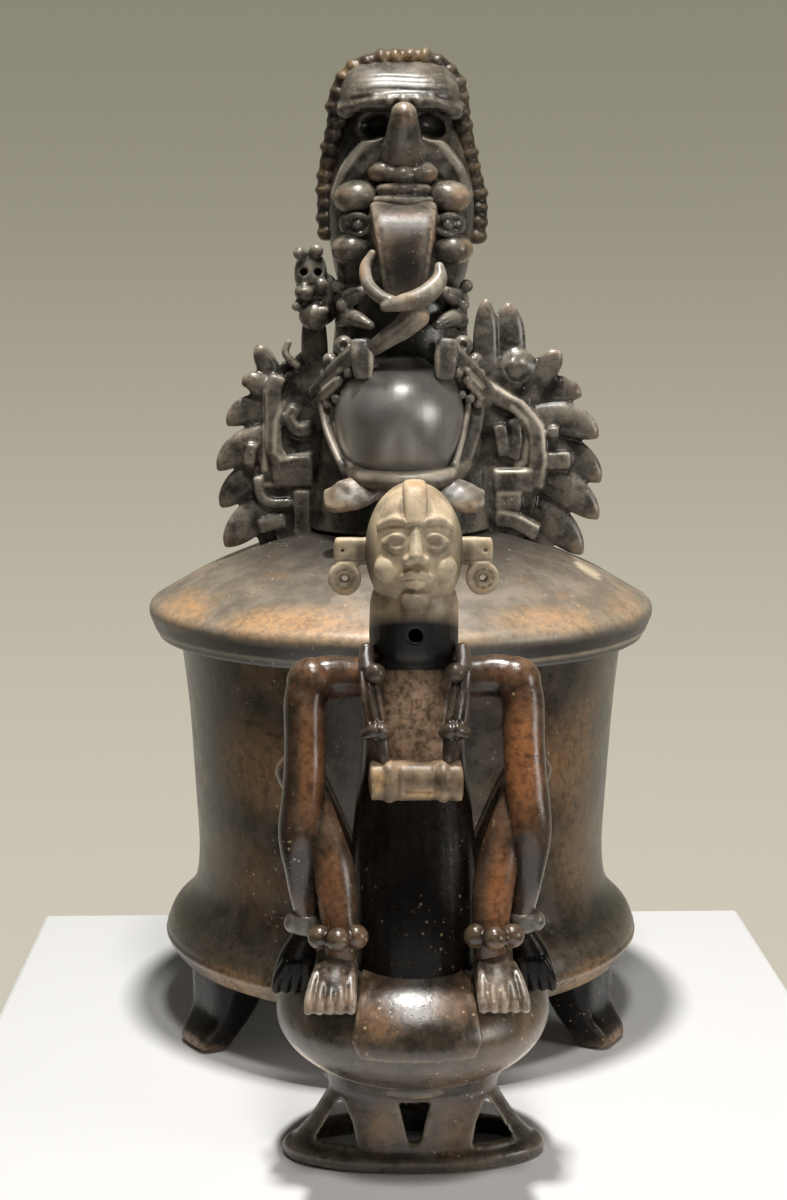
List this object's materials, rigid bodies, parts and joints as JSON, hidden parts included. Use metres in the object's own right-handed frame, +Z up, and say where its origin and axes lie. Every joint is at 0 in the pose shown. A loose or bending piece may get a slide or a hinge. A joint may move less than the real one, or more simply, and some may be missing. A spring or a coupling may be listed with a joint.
{
  "type": "tripod vessel",
  "caption": "Lidded tripod cylinder joined by a tube to a squat front chamber that carries a crouching whistle figure; the lid's handle is a winged bird. Burnished dark clay.",
  "frame": {"origin": "centre of the object's box, on the ground it stands on", "axes": "+Z up; +X to the right of a viewer who faces the figure; +Y from the front chamber back to the main chamber"},
  "size_m": [0.168, 0.2428, 0.3197],
  "materials": {
    "dark_clay": "burnished, dark brown to black, mottled",
    "brown_clay": "burnished, reddish brown",
    "tan_clay": "worn, matt tan",
    "black_clay": "burnished, black, glossy"
  },
  "bodies": {
    "vessel": {"anklet_left": "dark_clay", "anklet_right": "dark_clay", "arm_left": "brown_clay", "arm_right": "brown_clay", "bar_pendant": "tan_clay", "bracelet_left": "dark_clay", "bracelet_right": "dark_clay", "collar_bead_left": "brown_clay", "collar_bead_right": "brown_clay", "collar_strap_left": "brown_clay", "collar_strap_right": "brown_clay", "ear_ornament_left": "tan_clay", "ear_ornament_right": "tan_clay", "figure_foot_left": "brown_clay", "figure_foot_right": "brown_clay", "figure_head": "tan_clay", "figure_torso": "dark_clay", "foot_back": "dark_clay", "foot_left": "dark_clay", "foot_right": "dark_clay", "front_bowl": "dark_clay", "hair_crest": "tan_clay", "hand_left": "dark_clay", "hand_right": "dark_clay", "joining_tube": "dark_clay", "leg_left": "brown_clay", "leg_right": "brown_clay", "loincloth": "brown_clay", "main_chamber": "dark_clay", "pedestal": "dark_clay"},
    "lid": {"lid_cover": "dark_clay", "bird_body": "black_clay", "bird_breast": "black_clay", "bib_frame": "black_clay", "wing_left": "black_clay", "wing_right": "black_clay", "bird_head": "black_clay", "beak": "black_clay", "nose_root": "black_clay", "forehead_bow": "black_clay", "brow_left": "black_clay", "cheek_left": "black_clay", "eye_left": "black_clay", "brow_right": "black_clay", "cheek_right": "black_clay", "eye_right": "black_clay", "beak_crescent": "tan_clay", "throat_knot": "tan_clay", "headdress_visor": "black_clay", "headdress_snout": "black_clay", "headdress_beads": "black_clay", "serpent_left": "black_clay", "serpent_crest_left": "black_clay", "serpent_right": "black_clay", "serpent_crest_right": "black_clay", "side_head": "black_clay", "bird_foot_left": "tan_clay", "bird_foot_right": "tan_clay"}
  },
  "joints": [
    {"name": "lid_lift", "type": "slide", "parent": "vessel", "child": "lid", "axis": [0, 0, 1], "range_m": [0, 0.09]}
  ]
}
